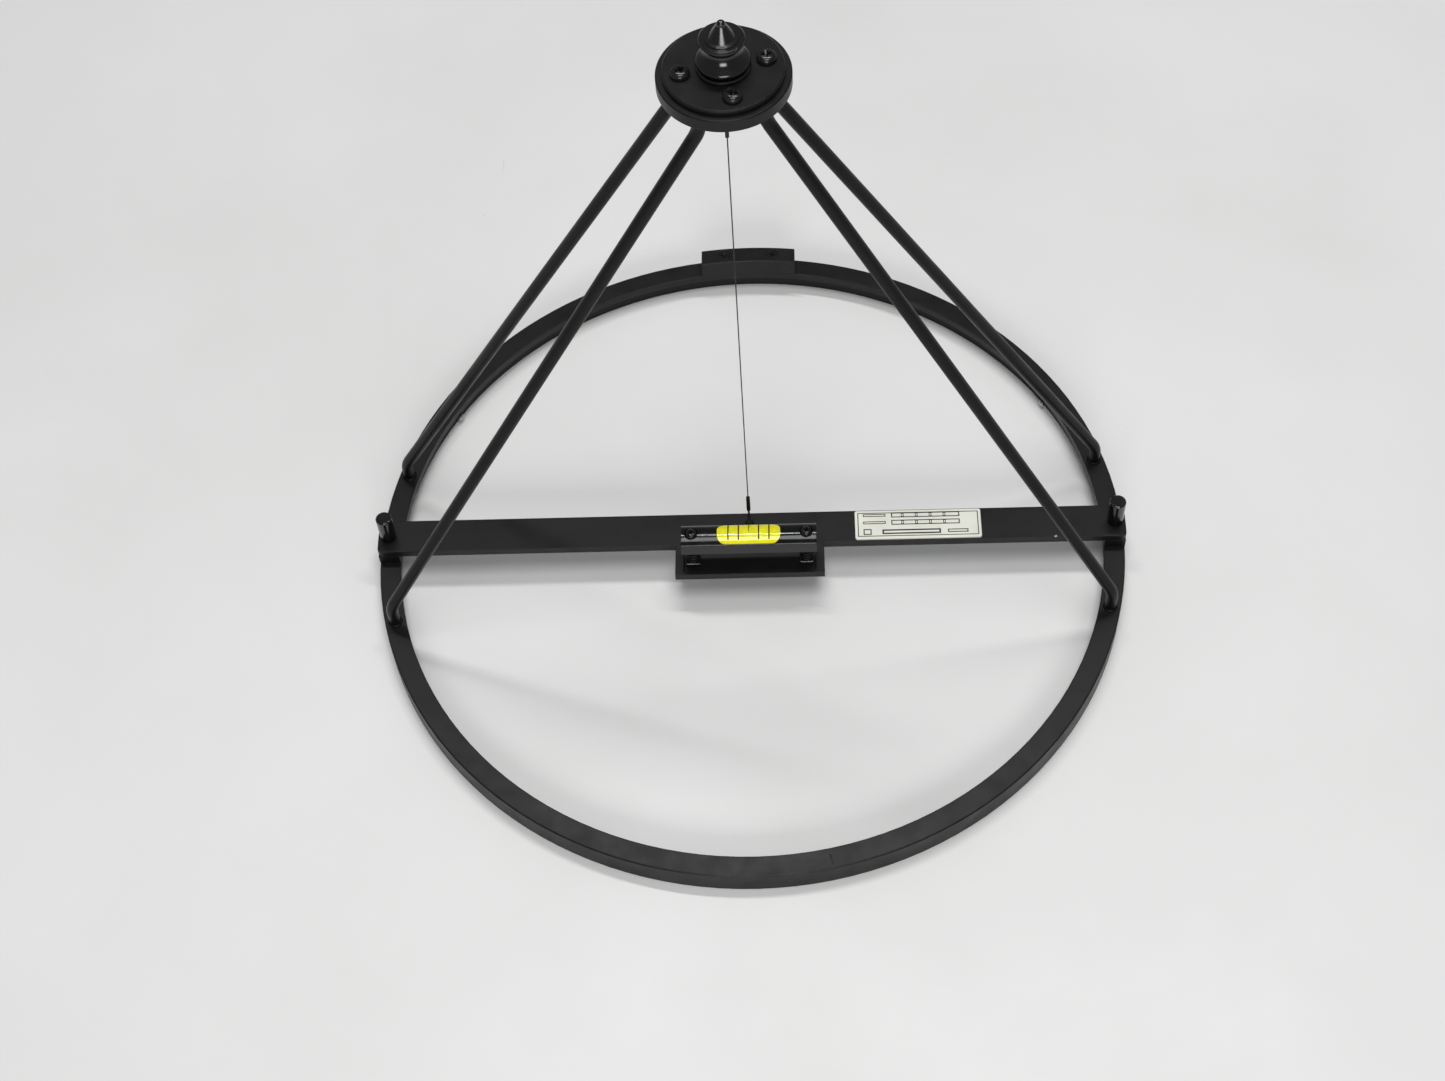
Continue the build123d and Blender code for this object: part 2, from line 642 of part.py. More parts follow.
# ================================================================ level screws, springs and nuts
for side, screw_x in zip(("left", "right"), screw_xs):
    with BuildPart() as level_screw:
        with BuildSketch(Plane.XY.offset(level_screw_seat)):
            with Locations((screw_x, level_y)):
                Circle(level_screw_head_r)
        extrude(amount=level_screw_head_thickness)
        chamfer(level_screw.edges().group_by(Axis.Z)[-1], 0.2)
        with BuildSketch(Plane.XY.offset(level_screw_seat)):
            with Locations((screw_x, level_y)):
                Circle(level_screw_r)
        extrude(amount=-(level_screw_seat - pad_top) - level_screw_tail)
        with BuildSketch(Plane.XY.offset(level_screw_top)):
            with Locations(Location((screw_x, level_y, 0), (0, 0, level_screw_turn))):
                Rectangle(level_screw_cross, level_screw_cross_width)
                Rectangle(level_screw_cross_width, level_screw_cross)
        extrude(amount=-level_screw_cross_depth, mode=Mode.SUBTRACT)
    save(level_screw.part, f"level_screw_{side}")

    with BuildPart() as level_nut:
        with BuildSketch(Plane.XY.offset(pocket_floor)):
            with Locations((screw_x, level_y)):
                Rectangle(nut_width, nut_width)
                Circle(level_screw_r + run_gap, mode=Mode.SUBTRACT)
        extrude(amount=nut_thickness)
        chamfer(level_nut.edges().group_by(Axis.Z)[-1].filter_by(GeomType.LINE), 0.2)
    save(level_nut.part, f"level_nut_{side}")

    spring_foot = pocket_floor + nut_thickness + spring_wire_r
    spring_rise = level_bottom - spring_wire_r - spring_foot
    with BuildPart() as level_spring:
        with BuildLine() as coil:
            Helix(spring_rise / spring_turns, spring_rise, spring_r, center=(screw_x, level_y, spring_foot))
        with BuildSketch(Plane(origin=coil.line @ 0, z_dir=coil.line % 0)):
            Circle(spring_wire_r)
        sweep(is_frenet=True)
    save(level_spring.part, f"level_spring_{side}")

# ================================================================ nameplate
with BuildPart() as nameplate:
    with BuildSketch(Plane.XY.offset(bar_top)):
        with Locations((plate_centre, 0)):
            RectangleRounded(plate_length, plate_width, plate_corner_r)
    extrude(amount=plate_thickness)
save(nameplate.part, "nameplate")

# ================================================================ index block and its screws
block_top = ring_height + block_height
with BuildPart() as index_block:
    with BuildSketch(Plane.XY.offset(ring_height)):
        Circle(ring_outer_r)
        Circle(ring_inner_r, mode=Mode.SUBTRACT)
        with Locations((0, ring_outer_r)):
            Rectangle(block_width, ring_outer_r, mode=Mode.INTERSECT)
    extrude(amount=block_height)
    chamfer(index_block.edges().group_by(Axis.Z)[-1], edge_break)
    with BuildSketch(Plane.XY.offset(ring_height)):
        with Locations(*block_points):
            Circle(block_screw_r + fit_gap)
    extrude(amount=block_height, mode=Mode.SUBTRACT)
    with BuildSketch(Plane.XY.offset(block_top)):
        with Locations(*block_points):
            Circle(block_screw_head_r + fit_gap)
    extrude(amount=-block_screw_head_depth, mode=Mode.SUBTRACT)
save(index_block.part, "index_block")

with BuildPart() as block_screw:
    with BuildSketch(Plane.XY.offset(block_top)):
        Circle(block_screw_head_r)
    extrude(amount=-block_screw_head_depth)
    with BuildSketch(Plane.XY.offset(block_top)):
        Circle(block_screw_r)
    extrude(amount=-block_height - block_screw_grip)
    with BuildSketch(Plane.XY.offset(block_top)):
        Rectangle(block_screw_cross, block_screw_cross_width)
        Rectangle(block_screw_cross_width, block_screw_cross)
    extrude(amount=-block_screw_cross_depth, mode=Mode.SUBTRACT)
turned = [Location((x, y, 0), (0, 0, block_screw_turn)) for x, y in block_points]
save(Compound(children=[block_screw.part.moved(place) for place in turned]), "index_block_screws")

# ================================================================ guide pins
for side, guide_angle in guide_angles.items():
    guide_x, guide_y = polar(1, guide_angle)
    tip_r = skirt_inner_r - guide_reach
    with BuildPart() as guide_pin:
        tip_plane = Plane(
            origin=(guide_x * tip_r, guide_y * tip_r, guide_height),
            z_dir=(guide_x, guide_y, 0),
        )
        with BuildSketch(tip_plane):
            Circle(guide_r)
        extrude(amount=guide_reach + guide_depth)
        tip_edge = guide_pin.edges().filter_by(GeomType.CIRCLE).sort_by_distance((0, 0, guide_height))[0]
        chamfer(tip_edge, guide_tip_break)
    save(guide_pin.part, f"guide_pin_{side}")
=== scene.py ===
"""Looks of a compass bearing sight: black ring, bar, bent legs, sighting wire and bubble level."""

import logging
import math
import random
from dataclasses import dataclass, field
from enum import Enum

import bmesh
import bpy
from mathutils import Matrix, Vector


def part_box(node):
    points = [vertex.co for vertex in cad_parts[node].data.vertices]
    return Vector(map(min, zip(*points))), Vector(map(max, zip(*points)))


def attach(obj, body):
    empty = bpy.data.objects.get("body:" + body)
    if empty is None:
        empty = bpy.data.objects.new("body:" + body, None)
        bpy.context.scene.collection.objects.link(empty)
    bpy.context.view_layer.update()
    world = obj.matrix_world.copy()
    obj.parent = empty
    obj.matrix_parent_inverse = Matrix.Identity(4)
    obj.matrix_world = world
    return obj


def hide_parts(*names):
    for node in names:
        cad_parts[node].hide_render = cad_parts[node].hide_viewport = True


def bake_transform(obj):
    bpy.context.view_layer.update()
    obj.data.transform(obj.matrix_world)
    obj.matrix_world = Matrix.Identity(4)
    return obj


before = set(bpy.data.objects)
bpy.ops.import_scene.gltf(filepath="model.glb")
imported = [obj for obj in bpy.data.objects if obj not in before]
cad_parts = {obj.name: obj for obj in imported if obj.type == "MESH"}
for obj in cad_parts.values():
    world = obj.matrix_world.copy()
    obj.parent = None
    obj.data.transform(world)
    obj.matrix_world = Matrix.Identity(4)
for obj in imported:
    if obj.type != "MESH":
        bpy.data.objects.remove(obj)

log = logging.getLogger("bearing_sight")
Point = tuple[float, float, float]
Colour = tuple[float, float, float]
MM = 0.001
TINY = 1e-6
SHARP_DEGREES = 32.0
CORNER_STEPS = 4


# ---------------------------------------------------------------- mesh helpers
def finish_mesh(name: str, bm: bmesh.types.BMesh, sharp_degrees: float = SHARP_DEGREES) -> bpy.types.Object:
    """Turns a bmesh built in millimetres into a smooth-shaded object in metres.

    Args:
        name: The new object's name.
        bm: The mesh, in millimetres; it is freed here.
        sharp_degrees: Edges folded by more than this stay sharp.

    Returns:
        The new object, linked to the scene.
    """
    bmesh.ops.recalc_face_normals(bm, faces=bm.faces)
    for face in bm.faces:
        face.smooth = True
    for edge in bm.edges:
        if len(edge.link_faces) == 2 and edge.calc_face_angle(0.0) > math.radians(sharp_degrees):
            edge.smooth = False
    bmesh.ops.scale(bm, vec=(MM, MM, MM), verts=bm.verts)
    mesh = bpy.data.meshes.new(name)
    bm.to_mesh(mesh)
    bm.free()
    piece = bpy.data.objects.new(name, mesh)
    bpy.context.scene.collection.objects.link(piece)
    return piece


def lathe(bm: bmesh.types.BMesh, profile: list[tuple[float, float]], centre: Point, segments: int = 48) -> None:
    """Adds a turned solid to a bmesh.

    Args:
        bm: The mesh to add to, in millimetres.
        profile: Radius and height pairs from the lower end on the axis to the upper end on the axis.
        centre: Where the axis stands.
        segments: Steps round the axis.
    """
    rings: list[list[bmesh.types.BMVert]] = []
    for radius, height in profile:
        if radius < TINY:
            rings.append([bm.verts.new((centre[0], centre[1], centre[2] + height))])
            continue
        ring = []
        for step in range(segments):
            turn = 2 * math.pi * step / segments
            ring.append(
                bm.verts.new(
                    (
                        centre[0] + radius * math.cos(turn),
                        centre[1] + radius * math.sin(turn),
                        centre[2] + height,
                    )
                )
            )
        rings.append(ring)
    for low, high in zip(rings, rings[1:]):
        for step in range(segments):
            after = (step + 1) % segments
            corners = [low[step % len(low)], low[after % len(low)], high[after % len(high)], high[step % len(high)]]
            unique = list(dict.fromkeys(corners))
            if len(unique) > 2:
                bm.faces.new(unique)


def tube(
    bm: bmesh.types.BMesh, line: list[Vector], radius: float, sides: int = 8, up: Vector = Vector((0, 1, 0))
) -> None:
    """Adds a round tube along a line to a bmesh.

    Args:
        bm: The mesh to add to, in millimetres.
        line: Points along the tube's middle.
        radius: The tube's radius.
        sides: Flats round the tube.
        up: A direction the line never runs along.
    """
    rings = []
    for index, point in enumerate(line):
        ahead = line[min(index + 1, len(line) - 1)] - line[max(index - 1, 0)]
        tangent = ahead.normalized()
        across = tangent.cross(up).normalized()
        other = across.cross(tangent)
        ring = []
        for side in range(sides):
            turn = 2 * math.pi * side / sides
            ring.append(bm.verts.new(point + radius * (math.cos(turn) * across + math.sin(turn) * other)))
        rings.append(ring)
    for low, high in zip(rings, rings[1:]):
        for side in range(sides):
            after = (side + 1) % sides
            bm.faces.new((low[side], low[after], high[after], high[side]))
    bm.faces.new(rings[0])
    bm.faces.new(list(reversed(rings[-1])))


def slab(
    bm: bmesh.types.BMesh, outline: list[tuple[float, float]], low: float, high: float, shrink: float = 1.0
) -> None:
    """Adds a flat-sided solid standing on an outline to a bmesh.

    Args:
        bm: The mesh to add to, in millimetres.
        outline: Corners of the outline, in order.
        low: Height of the outline's lower copy.
        high: Height of its upper copy.
        shrink: Size of the lower copy against the upper one, about the outline's middle.
    """
    middle_x = sum(x for x, _ in outline) / len(outline)
    middle_y = sum(y for _, y in outline) / len(outline)
    below = [
        bm.verts.new((middle_x + (x - middle_x) * shrink, middle_y + (y - middle_y) * shrink, low)) for x, y in outline
    ]
    above = [bm.verts.new((x, y, high)) for x, y in outline]
    count = len(outline)
    for index in range(count):
        after = (index + 1) % count
        bm.faces.new((below[index], below[after], above[after], above[index]))
    bm.faces.new(list(reversed(below)))
    bm.faces.new(above)


def rounded_outline(
    centre: tuple[float, float], size: tuple[float, float], radius: float
) -> list[tuple[float, float]]:
    """Corners of a rectangle with rounded corners.

    Args:
        centre: The rectangle's middle.
        size: Its length and width.
        radius: The corner radius.

    Returns:
        Points in order round the outline.
    """
    points = []
    for quarter in range(4):
        sign_x = (1, -1, -1, 1)[quarter]
        sign_y = (1, 1, -1, -1)[quarter]
        for step in range(CORNER_STEPS + 1):
            turn = math.radians(90 * quarter + 90 / CORNER_STEPS * step)
            points.append(
                (
                    centre[0] + sign_x * (size[0] / 2 - radius) + radius * math.cos(turn),
                    centre[1] + sign_y * (size[1] / 2 - radius) + radius * math.sin(turn),
                )
            )
    return points


def cut(piece: bpy.types.Object, cutter_mesh: bmesh.types.BMesh) -> None:
    """Cuts one closed mesh out of a piece and drops the cutter.

    Args:
        piece: The piece to cut, in metres.
        cutter_mesh: The cutter, in millimetres.
    """
    cutter = finish_mesh(piece.name + "_cutter", cutter_mesh)
    modifier = piece.modifiers.new("cut", "BOOLEAN")
    modifier.operation = "DIFFERENCE"
    modifier.solver = "EXACT"
    modifier.object = cutter
    bpy.context.view_layer.update()
    evaluated = piece.evaluated_get(bpy.context.evaluated_depsgraph_get())
    mesh = bpy.data.meshes.new_from_object(evaluated)
    piece.modifiers.clear()
    piece.data = mesh
    bpy.data.objects.remove(cutter)
    bm = bmesh.new()
    bm.from_mesh(mesh)
    for face in bm.faces:
        face.smooth = True
    for edge in bm.edges:
        folded = len(edge.link_faces) != 2 or edge.calc_face_angle(0.0) > math.radians(SHARP_DEGREES)
        edge.smooth = not folded
    bm.to_mesh(mesh)
    bm.free()


# ---------------------------------------------------------------- finishes
class Slot(Enum):
    """Material slot names for the sight's finishes; nothing in this script uses them."""

    RING = "black_finish"
    RODS = "black_rods"
    SCREWS = "black_screws"
    KNOB = "knob_black"
    GLOSS = "gloss_black"
    STEEL = "plain_steel"
    WIRE = "wire_steel"
    SPRING = "spring_steel"
    NUT = "nut_steel"
    VIAL = "yellow_acrylic"
    INK = "mark_ink"
    PLATE = "plate_aluminium"


class Nodes:
    """Short hand for wiring one material's nodes."""

    def __init__(self, name: str) -> None:
        """Starts an empty material with one main shader.

        Args:
            name: The material's name.
        """
        self.material = bpy.data.materials.new(name)
        self.material.use_nodes = True
        self.tree = self.material.node_tree
        self.tree.nodes.clear()
        self.out = self.add("ShaderNodeOutputMaterial")
        self.shader = self.add("ShaderNodeBsdfPrincipled")
        self.join(self.shader, "BSDF", self.out, "Surface")
        self.place = self.add("ShaderNodeTexCoord")

    def add(self, kind: str, **settings: object) -> bpy.types.Node:
        """Adds a node.

        Args:
            kind: The node's type.
            settings: Properties to set on it.

        Returns:
            The new node.
        """
        node = self.tree.nodes.new(kind)
        for key, value in settings.items():
            setattr(node, key, value)
        return node

    def join(self, source: bpy.types.Node, output: str | int, target: bpy.types.Node, socket: str | int) -> None:
        """Links one node's output to another's input."""
        self.tree.links.new(source.outputs[output], target.inputs[socket])

    def fix(self, **values: float | tuple) -> None:
        """Sets plain values on the main shader's own sockets; underscores stand for spaces."""
        for key, value in values.items():
            self.shader.inputs[key.replace("_", " ")].default_value = value

    def noise(
        self, size_mm: float, detail: float = 4.0, stretch: Point = (1, 1, 1), rough: float = 0.55
    ) -> bpy.types.Node:
        """Adds noise of a given grain size.

        Args:
            size_mm: Size of one blob.
            detail: Octaves of finer noise.
            stretch: How much larger the blobs are along X, Y and Z.
            rough: Strength of the finer octaves.

        Returns:
            The noise node; its "Fac" output is the pattern.
        """
        mapping = self.add("ShaderNodeMapping")
        mapping.inputs["Scale"].default_value = tuple(1.0 / s for s in stretch)
        self.join(self.place, "Object", mapping, "Vector")
        noise = self.add("ShaderNodeTexNoise")
        noise.inputs["Scale"].default_value = 1.0 / (size_mm * MM)
        noise.inputs["Detail"].default_value = detail
        noise.inputs["Roughness"].default_value = rough
        self.join(mapping, "Vector", noise, "Vector")
        return noise

    def span(
        self, source: bpy.types.Node, output: str, span_in: tuple[float, float], span_out: tuple[float, float]
    ) -> bpy.types.Node:
        """Maps a pattern from one range to another.

        Args:
            source: The node to read.
            output: Its output.
            span_in: Range of the pattern that is used.
            span_out: Range it becomes.

        Returns:
            The mapping node; its "Result" output is the new pattern.
        """
        node = self.add("ShaderNodeMapRange")
        node.clamp = True
        node.inputs["From Min"].default_value, node.inputs["From Max"].default_value = span_in
        node.inputs["To Min"].default_value, node.inputs["To Max"].default_value = span_out
        self.join(source, output, node, "Value")
        return node

    def sum(
        self, kind: str, first: tuple[bpy.types.Node, str], second: tuple[bpy.types.Node, str] | float
    ) -> bpy.types.Node:
        """Combines two patterns.

        Args:
            kind: The operation, such as ADD or MULTIPLY.
            first: A node and its output.
            second: A node and its output, or a number.

        Returns:
            The node; its first output is the result.
        """
        node = self.add("ShaderNodeMath", operation=kind)
        self.join(first[0], first[1], node, 0)
        if isinstance(second, tuple):
            self.join(second[0], second[1], node, 1)
        else:
            node.inputs[1].default_value = second
        return node

    def tint(self, pattern: bpy.types.Node, output: str | int, low: Colour, high: Colour) -> bpy.types.Node:
        """Turns a pattern into a colour between two colours.

        Args:
            pattern: The node to read.
            output: Its output.
            low: Colour where the pattern is 0.
            high: Colour where it is 1.

        Returns:
            The ramp node; its "Color" output is the colour.
        """
        ramp = self.add("ShaderNodeValToRGB")
        ramp.color_ramp.elements[0].color = (*low, 1.0)
        ramp.color_ramp.elements[1].color = (*high, 1.0)
        self.join(pattern, output, ramp, "Fac")
        return ramp

    def blend(self, pattern: bpy.types.Node, output: str | int, base: bpy.types.Node, over: Colour) -> bpy.types.Node:
        """Lays a plain colour over a colour node where a pattern is 1.

        Args:
            pattern: The node to read.
            output: Its output.
            base: A node with a "Color" output, or a mix node.
            over: The colour laid over it.

        Returns:
            The mix node; output 2 is the colour.
        """
        mix = self.add("ShaderNodeMix", data_type="RGBA")
        self.join(pattern, output, mix, 0)
        source = base.outputs[2] if base.bl_idname == "ShaderNodeMix" else base.outputs["Color"]
        self.tree.links.new(source, mix.inputs[6])
        mix.inputs[7].default_value = (*over, 1.0)
        return mix

    def bump(
        self, height: bpy.types.Node, output: str | int, depth_mm: float, under: bpy.types.Node | None = None
    ) -> bpy.types.Node:
        """Adds relief from a pattern.

        Args:
            height: The pattern.
            output: Its output.
            depth_mm: Height of the relief.
            under: An earlier bump node to add to.

        Returns:
            The bump node.
        """
        node = self.add("ShaderNodeBump")
        node.inputs["Strength"].default_value = 1.0
        node.inputs["Distance"].default_value = depth_mm * MM
        self.join(height, output, node, "Height")
        if under is not None:
            self.join(under, "Normal", node, "Normal")
        self.join(node, "Normal", self.shader, "Normal")
        return node


@dataclass(frozen=True)
class SprayedBlack:
    """Black paint: fine grain, handling marks, dust and edges rubbed thin."""

    name: str
    colour: Colour = (0.0035, 0.0035, 0.0037)
    worn: Colour = (0.03, 0.03, 0.031)
    roughness: float = 0.40
    grain_mm: float = 0.45
    grain_depth: float = 0.010
    dust: float = 0.22
    edge_wear: float = 0.5
    specular: float = 0.28
    along: Point = (1, 1, 1)

    def make(self) -> bpy.types.Material:
        """Makes the paint.

        Returns:
            The material.
        """
        n = Nodes(self.name)
        patches = n.noise(34.0, 3.0)
        lighter = tuple(c * 1.4 + 0.0012 for c in self.colour)
        paint = n.tint(n.span(patches, "Fac", (0.35, 0.7), (0.0, 1.0)), "Result", self.colour, lighter)
        specks = n.noise(0.55, 2.0)
        areas = n.noise(22.0, 2.0)
        speck_dots = n.span(specks, "Fac", (0.70, 0.76), (0.0, self.dust))
        speck_area = n.span(areas, "Fac", (0.45, 0.7), (0.2, 1.0))
        dust = n.sum("MULTIPLY", (speck_dots, "Result"), (speck_area, "Result"))
        dusty = n.blend(dust, 0, paint, (0.07, 0.07, 0.068))
        scuffs = n.noise(1.1, 5.0, (1, 14, 6), 0.7)
        scuff_lines = n.span(scuffs, "Fac", (0.66, 0.72), (0.0, 0.4))
        scuff_area = n.span(n.noise(30.0, 2.0), "Fac", (0.5, 0.68), (0.0, 1.0))
        scuffed = n.sum("MULTIPLY", (scuff_lines, "Result"), (scuff_area, "Result"))
        marked = n.blend(scuffed, 0, dusty, self.worn)
        soft_edge = n.add("ShaderNodeBevel", samples=4)
        soft_edge.inputs["Radius"].default_value = 0.45 * MM
        shape = n.add("ShaderNodeNewGeometry")
        turned = n.add("ShaderNodeVectorMath", operation="DOT_PRODUCT")
        n.join(soft_edge, "Normal", turned, 0)
        n.join(shape, "Normal", turned, 1)
        edge = n.span(turned, "Value", (0.99, 0.90), (0.0, self.edge_wear))
        rub = n.span(n.noise(3.2, 5.0), "Fac", (0.42, 0.66), (0.15, 1.0))
        rubbed = n.sum("MULTIPLY", (edge, "Result"), (rub, "Result"))
        final = n.blend(rubbed, 0, marked, self.worn)
        n.join(final, 2, n.shader, "Base Color")
        gloss_range = (self.roughness - 0.07, self.roughness + 0.08)
        gloss_patches = n.span(n.noise(9.0, 5.0, self.along), "Fac", (0.3, 0.7), gloss_range)
        n.join(gloss_patches, "Result", n.shader, "Roughness")
        n.bump(n.noise(self.grain_mm, 3.0), "Fac", self.grain_depth, soft_edge)
        n.shader.inputs["Specular IOR Level"].default_value = self.specular
        return n.material


@dataclass(frozen=True)
class Steel:
    """Turned, plated or blackened steel with fine tool marks."""

    name: str
    colour: Colour = (0.42, 0.42, 0.43)
    dark: Colour = (0.25, 0.25, 0.26)
    roughness: float = 0.3
    marks: Point = (1, 1, 8)
    mark_mm: float = 0.12
    depth: float = 0.004
    metallic: float = 1.0

    def make(self) -> bpy.types.Material:
        """Makes the steel.

        Returns:
            The material.
        """
        n = Nodes(self.name)
        stain = n.span(n.noise(2.6, 4.0), "Fac", (0.4, 0.72), (0.0, 1.0))
        n.join(n.tint(stain, "Result", self.colour, self.dark), "Color", n.shader, "Base Color")
        gloss = n.span(n.noise(1.4, 4.0), "Fac", (0.3, 0.7), (self.roughness - 0.06, self.roughness + 0.12))
        n.join(gloss, "Result", n.shader, "Roughness")
        n.bump(n.noise(self.mark_mm, 2.0, self.marks), "Fac", self.depth)
        n.shader.inputs["Metallic"].default_value = self.metallic
        return n.material


@dataclass(frozen=True)
class YellowAcrylic:
    """Clear plastic dyed yellow-green, with a painted glow that shines whatever the lamps do."""

    name: str
    colour: Colour = (0.86, 0.82, 0.006)
    deep: Colour = (0.70, 0.67, 0.004)
    clear: float = 0.1
    painted_glow: float = 0.14

    def make(self) -> bpy.types.Material:
        """Makes the plastic.

        Returns:
            The material.
        """
        n = Nodes(self.name)
        cloud = n.span(n.noise(2.2, 3.0), "Fac", (0.35, 0.7), (0.0, 1.0))
        n.join(n.tint(cloud, "Result", self.colour, self.deep), "Color", n.shader, "Base Color")
        gloss = n.span(n.noise(3.0, 4.0), "Fac", (0.3, 0.7), (0.03, 0.11))
        n.join(gloss, "Result", n.shader, "Roughness")
        n.bump(n.noise(1.8, 2.0), "Fac", 0.004)
        n.fix(Transmission_Weight=self.clear, IOR=1.49, Coat_Weight=0.6, Coat_Roughness=0.04)
        # Painted glow: the emission gives the plastic yellow light of its own, under any lamp.
        n.shader.inputs["Emission Color"].default_value = (*self.colour, 1.0)
        n.shader.inputs["Emission Strength"].default_value = self.painted_glow
        return n.material


@dataclass(frozen=True)
class Ink:
    """Flat printing ink or paint in a groove."""

    name: str
    colour: Colour = (0.006, 0.006, 0.006)
    roughness: float = 0.5

    def make(self) -> bpy.types.Material:
        """Makes the ink.

        Returns:
            The material.
        """
        n = Nodes(self.name)
        thin = n.span(n.noise(0.5, 4.0), "Fac", (0.4, 0.75), (0.0, 1.0))
        faded = tuple(c * 2.0 + 0.01 for c in self.colour)
        n.join(n.tint(thin, "Result", self.colour, faded), "Color", n.shader, "Base Color")
        gloss = n.span(n.noise(0.8, 3.0), "Fac", (0.3, 0.7), (self.roughness - 0.1, self.roughness + 0.15))
        n.join(gloss, "Result", n.shader, "Roughness")
        n.bump(n.noise(0.25, 2.0), "Fac", 0.004)
        return n.material


@dataclass(frozen=True)
class PrintedPlate:
    """Thin satin aluminium, yellowed a little and brushed along its length."""

    name: str
    colour: Colour = (0.86, 0.86, 0.76)
    stained: Colour = (0.76, 0.76, 0.66)
    roughness: float = 0.42

    def make(self) -> bpy.types.Material:
        """Makes the plate's face.

        Returns:
            The material.
        """
        n = Nodes(self.name)
        age = n.span(n.noise(14.0, 5.0), "Fac", (0.4, 0.72), (0.0, 1.0))
        n.join(n.tint(age, "Result", self.colour, self.stained), "Color", n.shader, "Base Color")
        gloss = n.span(n.noise(2.0, 4.0, (12, 1, 1)), "Fac", (0.3, 0.7), (self.roughness - 0.08, self.roughness + 0.1))
        n.join(gloss, "Result", n.shader, "Roughness")
        n.bump(n.noise(0.1, 2.0, (40, 1, 1)), "Fac", 0.003)
        n.shader.inputs["Metallic"].default_value = 0.08
        return n.material


@dataclass(frozen=True)
class BoardTop:
    """Pale laminated board with faint smudges and hair scratches."""

    name: str
    colour: Colour = (0.82, 0.82, 0.81)
    smudge: Colour = (0.76, 0.76, 0.745)

    def make(self) -> bpy.types.Material:
        """Makes the board.

        Returns:
            The material.
        """
        n = Nodes(self.name)
        cloud = n.span(n.noise(210.0, 5.0), "Fac", (0.4, 0.75), (0.0, 1.0))
        board = n.tint(cloud, "Result", self.colour, self.smudge)
        hairs = n.span(n.noise(5.0, 6.0, (1, 26, 1), 0.6), "Fac", (0.735, 0.76), (0.0, 0.35))
        hair_area = n.span(n.noise(75.0, 2.0), "Fac", (0.5, 0.62), (0.0, 1.0))
        scratches = n.sum("MULTIPLY", (hairs, "Result"), (hair_area, "Result"))
        scratched = n.blend(scratches, 0, board, (0.34, 0.33, 0.31))
        spots = n.span(n.noise(9.0, 2.0), "Fac", (0.78, 0.80), (0.0, 0.4))
        n.join(n.blend(spots, "Result", scratched, (0.36, 0.35, 0.33)), 2, n.shader, "Base Color")
        gloss = n.span(n.noise(60.0, 4.0), "Fac", (0.3, 0.7), (0.42, 0.55))
        n.join(gloss, "Result", n.shader, "Roughness")
        n.bump(n.noise(1.5, 3.0), "Fac", 0.01)
        return n.material


@dataclass
class Paintbox:
    """Every finish of the sight, made once."""

    ring: bpy.types.Material = field(init=False)
    rods: bpy.types.Material = field(init=False)
    screws: bpy.types.Material = field(init=False)
    knob: bpy.types.Material = field(init=False)
    gloss: bpy.types.Material = field(init=False)
    steel: bpy.types.Material = field(init=False)
    wire: bpy.types.Material = field(init=False)
    ferrule: bpy.types.Material = field(init=False)
    spring: bpy.types.Material = field(init=False)
    nut: bpy.types.Material = field(init=False)
    vial: bpy.types.Material = field(init=False)
    spirit: bpy.types.Material = field(init=False)
    bubble: bpy.types.Material = field(init=False)
    ink: bpy.types.Material = field(init=False)
    plug: bpy.types.Material = field(init=False)
    plate: bpy.types.Material = field(init=False)
    bare: bpy.types.Material = field(init=False)

    def __post_init__(self) -> None:
        """Makes the materials."""
        self.ring = SprayedBlack("satin_black").make()
        self.rods = SprayedBlack(
            "rod_black", (0.0028, 0.0028, 0.003), roughness=0.38, dust=0.12, edge_wear=0.15, specular=0.2,
            along=(1, 1, 5),
        ).make()
        self.knob = SprayedBlack(
            "anodised_black", (0.0022, 0.0022, 0.0024), roughness=0.15, grain_mm=0.6, grain_depth=0.0008, dust=0.05,
            edge_wear=0.08, specular=0.75,
        ).make()
        self.gloss = SprayedBlack(
            "gloss_black", (0.0018, 0.0018, 0.002), roughness=0.12, grain_mm=1.2, grain_depth=0.0012, dust=0.05,
            edge_wear=0.08, specular=0.45,
        ).make()
        self.screws = Steel(
            "blackened_screws", (0.028, 0.028, 0.029), (0.012, 0.012, 0.012), roughness=0.17, metallic=0.6
        ).make()
        self.steel = Steel("turned_steel").make()
        self.wire = Steel(
            "wire_steel", (0.035, 0.035, 0.035), (0.015, 0.015, 0.015), roughness=0.45, metallic=0.5
        ).make()
        self.ferrule = Steel(
            "crimped_ferrule", (0.009, 0.007, 0.007), (0.004, 0.004, 0.004), roughness=0.5, metallic=0.2
        ).make()
        self.spring = Steel(
            "spring_black", (0.004, 0.004, 0.004), (0.002, 0.002, 0.002), roughness=0.45, metallic=0.1
        ).make()
        self.nut = SprayedBlack(
            "blackened_nut", (0.003, 0.003, 0.003), (0.05, 0.05, 0.05), roughness=0.18, grain_mm=0.4, grain_depth=0.001,
            dust=0.05, edge_wear=0.3, specular=0.7,
        ).make()
        self.bare = Steel("bare_aluminium", (0.85, 0.85, 0.86), (0.7, 0.7, 0.7), roughness=0.25).make()
        # The vial, its spirit, its bubble and its plug all carry a painted glow.
        self.vial = YellowAcrylic("yellow_acrylic").make()
        self.spirit = YellowAcrylic(
            "yellow_spirit", (0.86, 0.80, 0.004), (0.74, 0.70, 0.004), clear=0.3, painted_glow=0.12
        ).make()
        self.bubble = YellowAcrylic(
            "air_in_the_vial", (0.95, 0.92, 0.2), (0.9, 0.86, 0.12), clear=0.6, painted_glow=0.15
        ).make()
        self.plug = YellowAcrylic("plug_yellow", (0.7, 0.72, 0.05), (0.6, 0.63, 0.04), clear=0.0, painted_glow=0.1).make()
        self.ink = Ink("groove_ink").make()
        self.plate = PrintedPlate("plate_face").make()


